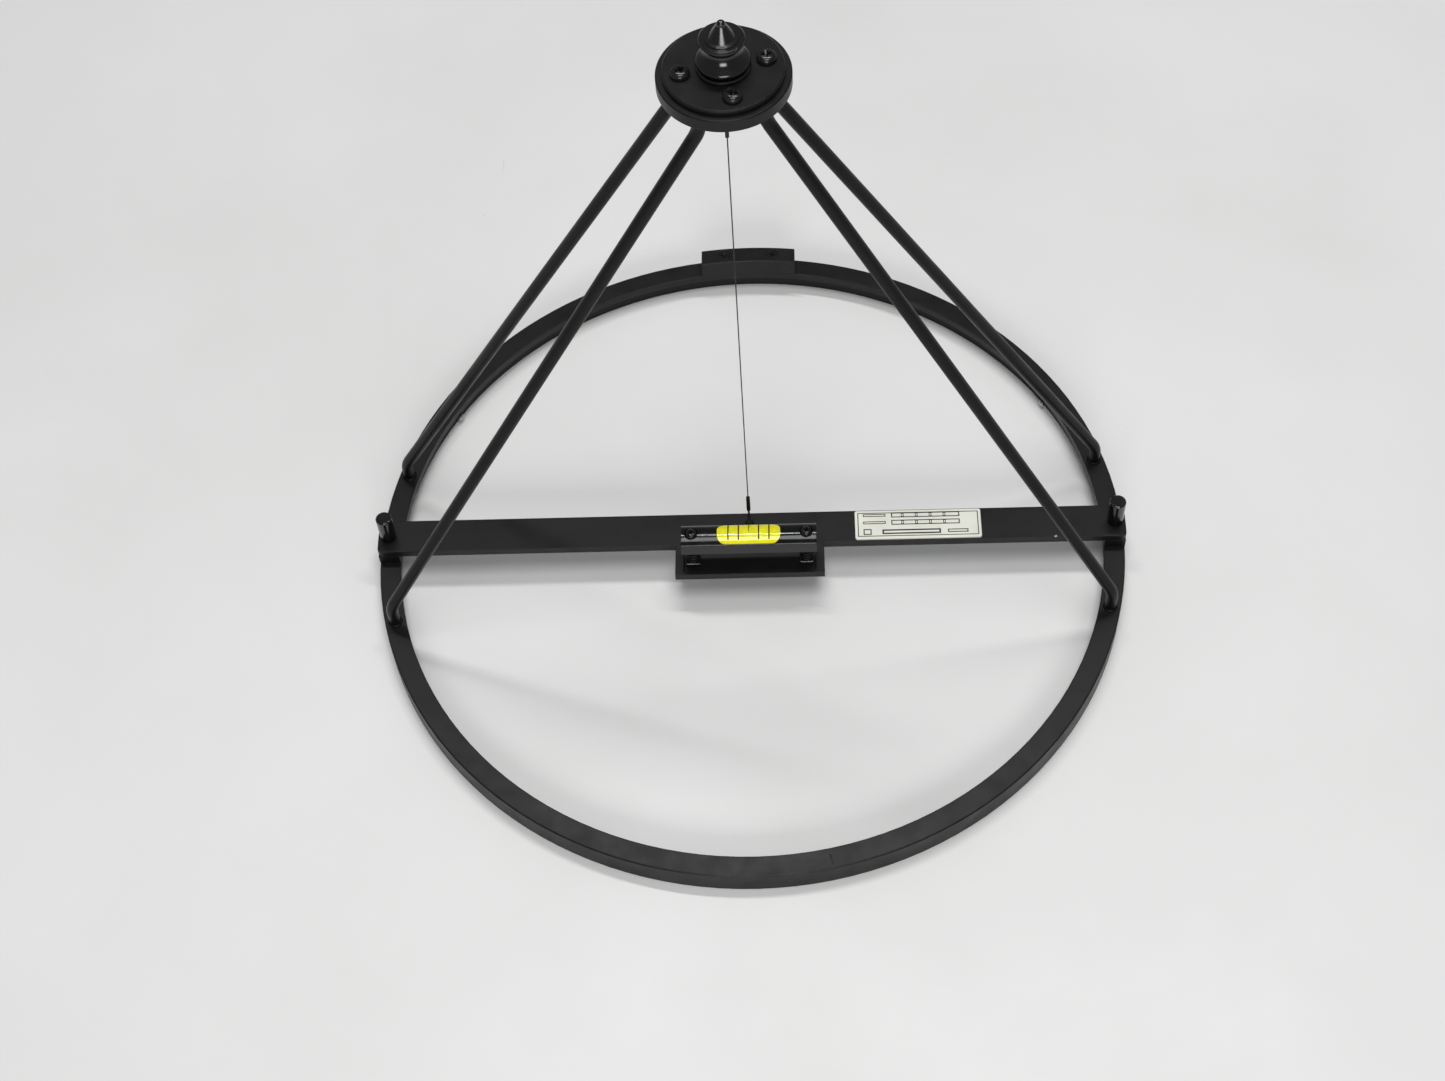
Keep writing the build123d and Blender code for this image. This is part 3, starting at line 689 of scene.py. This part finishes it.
def dress(finish: bpy.types.Material, *names: str) -> None:
    """Gives CAD nodes a finish.

    Args:
        finish: The material.
        names: The nodes.
    """
    for name in names:
        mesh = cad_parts[name].data
        mesh.materials.clear()
        mesh.materials.append(finish)
        log.info("finished %s with %s", name, finish.name)


def place(
    piece: bpy.types.Object, finish: bpy.types.Material, body: str, stands_for: tuple[str, ...] = ()
) -> bpy.types.Object:
    """Dresses a new piece and ties it to its body.

    Args:
        piece: The new piece, already in place.
        finish: Its material.
        body: The body it moves with.
        stands_for: CAD nodes that it replaces.

    Returns:
        The same piece.
    """
    piece.data.materials.clear()
    piece.data.materials.append(finish)
    if body:
        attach(piece, body)
    if stands_for:
        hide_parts(*stands_for)
    log.info("built %s on %s", piece.name, body or "two bodies")
    return piece


def top_of(node: str) -> float:
    """Returns a node's highest point in millimetres."""
    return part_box(node)[1][2] / MM


def foot_of(node: str) -> float:
    """Returns a node's lowest point in millimetres."""
    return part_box(node)[0][2] / MM


def middle_of(node: str) -> tuple[float, float]:
    """Returns the middle of a node's plan in millimetres."""
    low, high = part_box(node)
    return (low[0] + high[0]) / 2 / MM, (low[1] + high[1]) / 2 / MM


# ---------------------------------------------------------------- fasteners
class HeadStyle(Enum):
    """Shapes of screw head on the sight."""

    PAN = "pan"
    FLUSH = "flush"


@dataclass
class CrossScrew:
    """A machine screw with a cross recess."""

    name: str
    centre: tuple[float, float]
    seat: float
    head_radius: float
    head_height: float
    shank_radius: float
    shank_length: float
    style: HeadStyle = HeadStyle.PAN
    turn: float = 0.0
    pitch: float = 0.45
    recess_reach: float = 0.58
    recess_width: float = 0.13
    recess_root: float = 1.6
    recess_taper: float = 0.42
    recess_share: float = 0.75
    recess_deepest: float = 1.5
    cutter_rise: float = 0.2

    def head_profile(self) -> list[tuple[float, float]]:
        """Draws the head.

        Returns:
            Radius and height pairs from its rim up to its middle.
        """
        r, h = self.head_radius, self.head_height
        if self.style is HeadStyle.FLUSH:
            return [(r * 0.97, 0.0), (r, h * 0.12), (r, h * 0.86), (r * 0.95, h * 0.97), (r * 0.8, h), (0.0, h)]
        return [
            (r * 0.96, 0.0),
            (r, h * 0.08),
            (r, h * 0.38),
            (r * 0.97, h * 0.55),
            (r * 0.88, h * 0.74),
            (r * 0.7, h * 0.89),
            (r * 0.45, h * 0.97),
            (0.0, h),
        ]

    def shank_profile(self) -> list[tuple[float, float]]:
        """Draws the threaded shank.

        Returns:
            Radius and height pairs from its tip up to the head.
        """
        deep = self.shank_radius - 0.3 * self.pitch
        points = [(0.0, -self.shank_length), (deep * 0.8, -self.shank_length)]
        height = -self.shank_length + self.pitch * 0.6
        while height < -self.pitch * 1.2:
            points.append((deep, height))
            points.append((self.shank_radius, height + self.pitch * 0.4))
            points.append((self.shank_radius, height + self.pitch * 0.6))
            height += self.pitch
        points.append((deep, -self.pitch * 0.4))
        points.append((self.shank_radius, 0.0))
        return points

    def cross_cutter(self) -> bmesh.types.BMesh:
        """Builds the recess as a solid cross that narrows downwards.

        Returns:
            The cutter, in millimetres.
        """
        reach, width = self.head_radius * self.recess_reach, self.head_radius * self.recess_width
        root = width * self.recess_root
        corners = [
            (reach, -width), (reach, width), (root, root), (width, reach), (-width, reach), (-root, root),
            (-reach, width), (-reach, -width), (-root, -root), (-width, -reach), (width, -reach), (root, -root),
        ]
        turn = math.radians(self.turn)
        spun = [
            (
                self.centre[0] + x * math.cos(turn) - y * math.sin(turn),
                self.centre[1] + x * math.sin(turn) + y * math.cos(turn),
            )
            for x, y in corners
        ]
        bm = bmesh.new()
        top = self.seat + self.head_height + self.cutter_rise
        depth = min(self.recess_deepest, self.head_height * self.recess_share)
        slab(bm, spun, top - depth, top, self.recess_taper)
        return bm

    def build(self) -> bpy.types.Object:
        """Builds the screw.

        Returns:
            The finished mesh, without a material.
        """
        bm = bmesh.new()
        lathe(bm, self.shank_profile() + self.head_profile(), (self.centre[0], self.centre[1], self.seat), 40)
        piece = finish_mesh(self.name, bm)
        cut(piece, self.cross_cutter())
        return piece


# ---------------------------------------------------------------- ring, bar and nameplate
@dataclass
class RingAndBar:
    """The ring, the bar across it, the posts and the index block."""

    tick_angle: float = -78.5
    tick_radii: tuple[float, float] = (134.6, 139.0)
    tick_width: float = 0.5
    block_screw_x: float = 9.8
    block_screw_y: float = 135.747
    block_head_radius: float = 2.5
    block_head_depth: float = 1.25
    block_shank_radius: float = 1.25
    block_shank_length: float = 7.9
    chip_place: tuple[float, float] = (113.7, -6.4)
    chip_corners: int = 9
    chip_size: float = 0.45
    chip_stretch: float = 1.5
    chip_height: float = 0.015
    tick_height: float = 0.02
    sunk: float = 0.05

    def dress(self, paints: Paintbox) -> None:
        """Gives the carried-over pieces their paint.

        Args:
            paints: The finishes.
        """
        dress(paints.ring, "sight_ring", "bar_pad_left", "bar_pad_right", "cross_bar", "index_block")
        dress(paints.knob, "handle_post_left", "handle_post_right", "wire_anchor")
        dress(paints.steel, "guide_pin_left", "guide_pin_right", "guide_pin_front", "anchor_nut")

    def build_tick(self, paints: Paintbox) -> None:
        """Builds the short index line on the ring's face.

        Args:
            paints: The finishes.
        """
        turn = math.radians(self.tick_angle)
        out, side = Vector((math.cos(turn), math.sin(turn))), Vector((-math.sin(turn), math.cos(turn)))
        corners = []
        for radius, shift in ((0, -1), (1, -1), (1, 1), (0, 1)):
            point = out * self.tick_radii[radius] + side * shift * self.tick_width / 2
            corners.append((point.x, point.y))
        bm = bmesh.new()
        face = top_of("sight_ring")
        slab(bm, corners, face - self.sunk, face + self.tick_height)
        place(finish_mesh("ring_index_line", bm), paints.gloss, "frame")

    def build_block_screws(self, paints: Paintbox) -> None:
        """Builds the index block's two flush screws.

        Args:
            paints: The finishes.
        """
        seat = top_of("index_block") - self.block_head_depth
        for side, sign in (("left", -1), ("right", 1)):
            screw = CrossScrew(
                f"index_block_screw_{side}", (sign * self.block_screw_x, self.block_screw_y), seat,
                self.block_head_radius, self.block_head_depth, self.block_shank_radius, self.block_shank_length,
                HeadStyle.FLUSH, 30.0 + 35 * sign,
            )
            place(screw.build(), paints.screws, "frame")
        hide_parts("index_block_screws")

    def build_chip(self, paints: Paintbox) -> None:
        """Builds a small bright chip on the bar's near edge, where paint is missing.

        Args:
            paints: The finishes.
        """
        rng = random.Random(4)
        x0, y0 = self.chip_place
        corners = []
        for step in range(self.chip_corners):
            turn = 2 * math.pi * step / self.chip_corners
            reach = self.chip_size * rng.uniform(0.6, 1.2)
            corners.append((x0 + self.chip_stretch * reach * math.cos(turn), y0 + reach * math.sin(turn)))
        bm = bmesh.new()
        face = top_of("cross_bar")
        slab(bm, corners, face - self.sunk, face + self.chip_height)
        place(finish_mesh("bar_paint_chip", bm), paints.bare, "frame")

    def build(self, paints: Paintbox) -> None:
        """Builds and dresses the whole sub-assembly.

        Args:
            paints: The finishes.
        """
        self.dress(paints)
        self.build_tick(paints)
        self.build_block_screws(paints)
        self.build_chip(paints)


@dataclass
class Nameplate:
    """A thin plate with printed borders and blank boxes, without any words."""

    corner: float = 0.8
    edge_drop: float = 0.12
    edge_inset: float = 0.15
    edge_fold: float = 20.0
    line: float = 0.34
    box_line: float = 1.2
    inset: float = 1.0
    ink_height: float = 0.012
    ink_sunk: float = 0.01
    row_boxes: tuple[tuple[float, float, float, float], ...] = ((-9.9, 15.6, 3.05, 5.25), (-9.9, 15.6, -0.25, 1.95))
    small_box: tuple[float, float, float, float] = (-20.4, -17.4, -4.6, -2.0)
    digit_stops: tuple[float, ...] = (-6.2, -1.0, 4.2, 9.4)
    digit_size: tuple[float, float, float] = (1.0, 0.75, 0.26)
    bars: tuple[tuple[float, float, float, float, float], ...] = (
        (-20.4, -12.0, 3.55, 4.75, 0.34),
        (-20.4, -12.0, 0.25, 1.45, 0.34),
        (-13.4, 8.4, -4.4, -2.3, 0.62),
        (11.0, 18.6, -4.1, -2.6, 0.4),
    )
    centre: tuple[float, float] = field(init=False)
    face: float = field(init=False)

    def __post_init__(self) -> None:
        """Finds the plate's middle and its bare face."""
        self.centre = middle_of("nameplate")
        self.face = top_of("nameplate") - self.ink_height

    def rectangle(self, bm: bmesh.types.BMesh, x0: float, x1: float, y0: float, y1: float, width: float) -> None:
        """Adds a printed rectangle of four strips.

        Args:
            bm: The mesh to add to, in millimetres.
            x0: Left side, from the plate's middle.
            x1: Right side.
            y0: Near side.
            y1: Far side.
            width: The strips' width.
        """
        cx, cy = self.centre
        strips = (
            (x0, x1, y0, y0 + width),
            (x0, x1, y1 - width, y1),
            (x0, x0 + width, y0 + width, y1 - width),
            (x1 - width, x1, y0 + width, y1 - width),
        )
        for a, b, c, d in strips:
            outline = [(cx + a, cy + c), (cx + b, cy + c), (cx + b, cy + d), (cx + a, cy + d)]
            slab(bm, outline, self.face - self.ink_sunk, self.face + self.ink_height)

    def build_plate(self, length: float, width: float, paints: Paintbox) -> None:
        """Builds the bare plate with its top edge broken.

        Args:
            length: The plate's length.
            width: Its width.
            paints: The finishes.
        """
        bm = bmesh.new()
        shoulder = self.face - self.edge_drop
        slab(bm, rounded_outline(self.centre, (length, width), self.corner), foot_of("nameplate"), shoulder)
        lid = [f for f in bm.faces if all(abs(v.co.z - shoulder) < TINY for v in f.verts)]
        bmesh.ops.delete(bm, geom=lid, context="FACES_ONLY")
        upper = [v for v in bm.verts if abs(v.co.z - shoulder) < TINY]
        inner_size = (length - 2 * self.edge_inset, width - 2 * self.edge_inset)
        outline = rounded_outline(self.centre, inner_size, self.corner - self.edge_inset)
        inner = [bm.verts.new((x, y, self.face)) for x, y in outline]
        for index in range(len(inner)):
            after = (index + 1) % len(inner)
            bm.faces.new((upper[index], upper[after], inner[after], inner[index]))
        bm.faces.new(inner)
        plate = finish_mesh("nameplate_blank", bm, self.edge_fold)
        place(plate, paints.plate, "frame", ("nameplate",))

    def build_print(self, length: float, width: float, paints: Paintbox) -> None:
        """Prints the border, the blank boxes and the blank bars.

        Args:
            length: The plate's length.
            width: Its width.
            paints: The finishes.
        """
        bm = bmesh.new()
        hx, hy = length / 2 - self.inset, width / 2 - self.inset
        digit_width, digit_half, digit_line = self.digit_size
        self.rectangle(bm, -hx, hx, -hy, hy, self.line)
        for x0, x1, y0, y1 in self.row_boxes:
            self.rectangle(bm, x0, x1, y0, y1, self.line * self.box_line)
            middle = (y0 + y1) / 2
            for stop in self.digit_stops:
                self.rectangle(bm, stop, stop + digit_width, middle - digit_half, middle + digit_half, digit_line)
        self.rectangle(bm, *self.small_box, self.line * self.box_line)
        for bar in self.bars:
            self.rectangle(bm, *bar)
        place(finish_mesh("nameplate_print", bm), paints.ink, "frame")

    def build(self, paints: Paintbox) -> None:
        """Builds the plate and its printing.

        Args:
            paints: The finishes.
        """
        low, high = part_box("nameplate")
        length, width = (high[0] - low[0]) / MM, (high[1] - low[1]) / MM
        self.build_plate(length, width, paints)
        self.build_print(length, width, paints)


# ---------------------------------------------------------------- legs and hub
@dataclass
class StandAndHub:
    """The four bent legs, the two discs they meet in, and the discs' screws."""

    screw_circle: float = 12.8
    hub_turn: float = 12.2
    head_radius: float = 3.0
    head_height: float = 2.2
    shank_radius: float = 1.5
    shank_length: float = 5.2
    pitch: float = 0.5
    screw_turns: tuple[float, ...] = (10.0, 52.0, 31.0, 74.0)

    def build(self, paints: Paintbox) -> None:
        """Builds the screws and dresses the legs and discs.

        Args:
            paints: The finishes.
        """
        dress(paints.rods, *(f"leg_{end}_{side}" for end in ("front", "back") for side in ("left", "right")))
        dress(paints.ring, "hub_base", "hub_cap")
        dress(paints.knob, "knob_washer")
        seat = top_of("hub_cap")
        for index, spin in enumerate(self.screw_turns):
            turn = math.radians(self.hub_turn + 90 * index)
            centre = (self.screw_circle * math.cos(turn), self.screw_circle * math.sin(turn))
            screw = CrossScrew(
                f"hub_screw_{index + 1}", centre, seat, self.head_radius, self.head_height, self.shank_radius,
                self.shank_length, HeadStyle.PAN, spin, self.pitch,
            )
            place(screw.build(), paints.screws, "frame")
        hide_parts("hub_screws")


@dataclass
class WireLine:
    """The sighting wire with its doubled ends, its ferrules and the stem it hangs from."""

    strands: int = 3
    strand_radius: float = 0.112
    lay_radius: float = 0.115
    lay_length: float = 2.6
    split: float = 0.17
    loop_radius: float = 1.35
    wire_radius: float = 0.2
    mouth_degrees: float = 12.0
    eye_steps: int = 24
    ferrule_steps: int = 24
    lower_lead_steps: int = 18
    upper_lead_steps: int = 12
    step_length: float = 0.32
    turn_in: float = 0.6
    tail_inset: float = 0.1

    @staticmethod
    def eased_run(start: tuple[float, float], end: tuple[float, float], steps: int) -> list[Vector]:
        """Spaces points from one place to another with a soft start and end sideways.

        Args:
            start: First place, across and up.
            end: Last place, which is left out.
            steps: Number of points.

        Returns:
            The points.
        """
        points = []
        for step in range(steps):
            t = step / steps
            eased = t * t * (3 - 2 * t)
            points.append(Vector((start[0] + (end[0] - start[0]) * eased, 0, start[1] + (end[1] - start[1]) * t)))
        return points

    def eye(self, middle: float, upward: int) -> list[Vector]:
        """Spaces points round an eye, starting and ending beside the axis.

        Args:
            middle: Height of the eye's middle.
            upward: 1 where the eye opens upwards, -1 where it opens downwards.

        Returns:
            The points.
        """
        points = []
        for step in range(1, self.eye_steps):
            t = math.radians(self.mouth_degrees + (360 - 2 * self.mouth_degrees) * step / self.eye_steps)
            rise = upward * self.loop_radius * math.cos(t)
            points.append(Vector((self.loop_radius * math.sin(t), 0, middle + rise)))
        return points

    def centre_line(self) -> list[Vector]:
        """Follows the wire's middle from the lower tail round both eyes to the upper tail.

        Returns:
            The points in order.
        """
        lower_loop = foot_of("sighting_wire") + self.wire_radius + self.loop_radius
        upper_loop = top_of("sighting_wire") - self.wire_radius - self.loop_radius
        lower_foot, lower_top = foot_of("lower_wire_ferrule"), top_of("lower_wire_ferrule")
        upper_foot, upper_top = foot_of("upper_wire_ferrule"), top_of("upper_wire_ferrule")
        mouth = math.radians(self.mouth_degrees)
        side = self.loop_radius * math.sin(mouth)
        lower_mouth = lower_loop + self.loop_radius * math.cos(mouth)
        upper_mouth = upper_loop - self.loop_radius * math.cos(mouth)
        straight_foot, straight_top = lower_top + self.turn_in, upper_foot - self.turn_in
        straight_steps = int((upper_foot - self.turn_in - lower_top) / self.step_length)
        run, split = self.eased_run, self.split
        line = run((split, lower_top - self.tail_inset), (split, lower_foot), self.ferrule_steps)
        line += run((split, lower_foot), (side, lower_mouth), self.lower_lead_steps)
        line += self.eye(lower_loop, 1)
        line += run((-side, lower_mouth), (-split, lower_foot), self.lower_lead_steps)
        line += run((-split, lower_foot), (0.0, straight_foot), self.ferrule_steps)
        line += run((0.0, straight_foot), (0.0, straight_top), straight_steps)
        line += run((0.0, straight_top), (-split, upper_top), self.ferrule_steps)
        line += run((-split, upper_top), (-side, upper_mouth), self.upper_lead_steps)
        line += [Vector((-p.x, 0, p.z)) for p in self.eye(upper_loop, -1)]
        line += run((side, upper_mouth), (split, upper_top), self.upper_lead_steps)
        line += run((split, upper_top), (split, upper_foot + self.tail_inset), self.ferrule_steps)
        return line

    def build(self, paints: Paintbox) -> None:
        """Builds the stranded wire and dresses the metal at its ends.

        Args:
            paints: The finishes.
        """
        line = self.centre_line()
        bm = bmesh.new()
        side = Vector((0, 1, 0))
        for strand in range(self.strands):
            travelled = 0.0
            points = []
            for index, point in enumerate(line):
                ahead = (line[min(index + 1, len(line) - 1)] - line[max(index - 1, 0)]).normalized()
                if index:
                    travelled += (point - line[index - 1]).length
                phase = 2 * math.pi * (travelled / self.lay_length + strand / self.strands)
                points.append(point + self.lay_radius * (math.cos(phase) * side + math.sin(phase) * ahead.cross(side)))
            tube(bm, points, self.strand_radius, 6, Vector((0.02, 1, 0.01)))
        place(finish_mesh("stranded_wire", bm), paints.wire, "wire_line", ("sighting_wire",))
        dress(paints.ferrule, "upper_wire_ferrule", "lower_wire_ferrule")
        dress(paints.steel, "tension_stem")


@dataclass
class TensionKnob:
    """The tensioning knob and the shadow pin on top of it."""

    def build(self, paints: Paintbox) -> None:
        """Dresses the knob and its pin."""
        dress(paints.knob, "tension_knob", "shadow_pin")


# ---------------------------------------------------------------- level
@dataclass
class BubbleLevel:
    """The level's body, vial, screws, springs and nuts."""

    head_radius: float = 2.1
    head_height: float = 1.6
    coil_radius: float = 2.15
    coil_wire: float = 0.35
    coils: float = 6.0
    coil_steps: int = 22
    end_pitch: float = 0.9
    shank_radius: float = 1.25

    def build_spring(self, side: str, paints: Paintbox) -> None:
        """Builds one spring with its end coils closed.

        Args:
            side: left or right.
            paints: The finishes.
        """
        centre = middle_of(f"level_spring_{side}")
        low = top_of(f"level_nut_{side}")
        high = foot_of("level_body")
        closed = 2 * self.coil_wire
        steps = int(self.coils * self.coil_steps)
        points = []
        open_rise = high - low - 2 * self.coil_wire - 2 * closed * self.end_pitch
        for step in range(steps + 1):
            turns = self.coils * step / steps
            if turns < 1:
                rise = turns * closed * self.end_pitch
            elif turns > self.coils - 1:
                last_turn = turns - self.coils + 1
                rise = closed * self.end_pitch + open_rise + last_turn * closed * self.end_pitch
            else:
                rise = closed * self.end_pitch + open_rise * (turns - 1) / (self.coils - 2)
            turn = 2 * math.pi * turns
            points.append(
                Vector(
                    (
                        centre[0] + self.coil_radius * math.cos(turn),
                        centre[1] + self.coil_radius * math.sin(turn),
                        low + self.coil_wire + rise,
                    )
                )
            )
        bm = bmesh.new()
        tube(bm, points, self.coil_wire, 10, Vector((0, 0, 1)))
        piece = place(finish_mesh(f"coil_spring_{side}", bm), paints.spring, "", (f"level_spring_{side}",))
        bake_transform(piece)

    def build(self, paints: Paintbox) -> None:
        """Builds the screws and springs and dresses the rest.

        Args:
            paints: The finishes.
        """
        dress(paints.gloss, "level_body")
        dress(paints.vial, "vial_block")
        dress(paints.spirit, "vial_spirit")
        dress(paints.bubble, "vial_bubble")
        dress(paints.ink, "vial_marks")
        dress(paints.plug, "vial_plug")
        dress(paints.nut, "level_nut_left", "level_nut_right")
        for side, spin in (("left", 28.0), ("right", 64.0)):
            node = f"level_screw_{side}"
            seat = top_of(node) - self.head_height
            screw = CrossScrew(
                f"level_adjuster_{side}", middle_of(node), seat, self.head_radius, self.head_height,
                self.shank_radius, seat - foot_of(node), HeadStyle.PAN, spin,
            )
            place(screw.build(), paints.screws, f"{side}_level_screw", (node,))
            self.build_spring(side, paints)


# ---------------------------------------------------------------- studio
@dataclass
class Studio:
    """The floor, the lights and the camera."""

    floor_half: float = 3.0
    floor_drop: float = 0.00005
    room_colour: Colour = (0.95, 0.97, 1.0)
    room_strength: float = 0.2
    camera_place: Point = (0.02022, -0.47996, 0.71288)
    camera_right: Point = (0.99909484, 0.0016623, -0.0425057)
    camera_down: Point = (-0.0225592, -0.8264397, -0.5625731)
    camera_forward: Point = (-0.0360636, 0.5630228, -0.8256542)
    lens: float = 56.24

    def build_floor(self) -> None:
        """Lays the pale board that the sight stands on."""
        bm = bmesh.new()
        bmesh.ops.create_grid(bm, x_segments=12, y_segments=12, size=self.floor_half / MM)
        floor = finish_mesh("floor_board", bm)
        floor.location.z = -self.floor_drop
        floor.data.materials.append(BoardTop("pale_board").make())

    def lamp(self, name: str, place_at: Point, aim: Point, size: tuple[float, float], watts: float) -> None:
        """Hangs one soft lamp.

        Args:
            name: The lamp's name.
            place_at: Where it hangs.
            aim: The point it faces.
            size: Its length and width.
            watts: Its power.
        """
        data = bpy.data.lights.new(name, "AREA")
        data.shape = "RECTANGLE"
        data.size, data.size_y = size
        data.energy = watts
        lamp = bpy.data.objects.new(name, data)
        lamp.location = place_at
        lamp.rotation_mode = "QUATERNION"
        lamp.rotation_quaternion = (Vector(aim) - Vector(place_at)).to_track_quat("-Z", "Y")
        bpy.context.scene.collection.objects.link(lamp)

    def build_lights(self) -> None:
        """Sets the soft room light and the ceiling lamps."""
        world = bpy.data.worlds.new("room_light")
        world.use_nodes = True
        background = world.node_tree.nodes["Background"]
        background.inputs["Color"].default_value = (*self.room_colour, 1.0)
        background.inputs["Strength"].default_value = self.room_strength
        bpy.context.scene.world = world
        self.lamp("ceiling_strip", (0.1, 0.55, 1.9), (0.0, 0.0, 0.0), (1.3, 0.08), 13.0)
        self.lamp("overhead_softbox", (0.1, -0.4, 2.2), (0.0, 0.1, 0.0), (1.0, 1.0), 16.5)
        self.lamp("front_window", (0.1, -2.0, 1.05), (0.0, 0.0, 0.05), (1.1, 0.62), 17.0)

    def build_camera(self) -> None:
        """Stands the camera where the view is taken from."""
        data = bpy.data.cameras.new("view_camera")
        data.lens = self.lens
        data.sensor_width = 36.0
        data.clip_start, data.clip_end = 0.01, 50.0
        camera = bpy.data.objects.new("view_camera", data)
        right, up, back = Vector(self.camera_right), -Vector(self.camera_down), -Vector(self.camera_forward)
        turn = Matrix((right, up, back)).transposed().to_4x4()
        camera.matrix_world = Matrix.Translation(self.camera_place) @ turn
        bpy.context.scene.collection.objects.link(camera)
        bpy.context.scene.camera = camera

    def set_print(self) -> None:
        """Shows colours as they are, without a film curve."""
        bpy.context.scene.view_settings.view_transform = "Standard"

    def build(self) -> None:
        """Builds the whole studio."""
        self.set_print()
        self.build_floor()
        self.build_lights()
        self.build_camera()


def corners(bounds: tuple[Vector, Vector]) -> list[list[float]]:
    """Returns a box as two plain lists of numbers."""
    return [[float(v) for v in bounds[0]], [float(v) for v in bounds[1]]]


def main() -> None:
    """Builds and dresses every sub-assembly, then the studio."""
    logging.basicConfig(level=logging.INFO, format="%(name)s: %(message)s")
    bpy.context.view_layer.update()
    paints = Paintbox()
    RingAndBar().build(paints)
    Nameplate().build(paints)
    StandAndHub().build(paints)
    TensionKnob().build(paints)
    WireLine().build(paints)
    BubbleLevel().build(paints)
    Studio().build()
    bpy.context.view_layer.update()


if __name__ == "__main__":
    main()
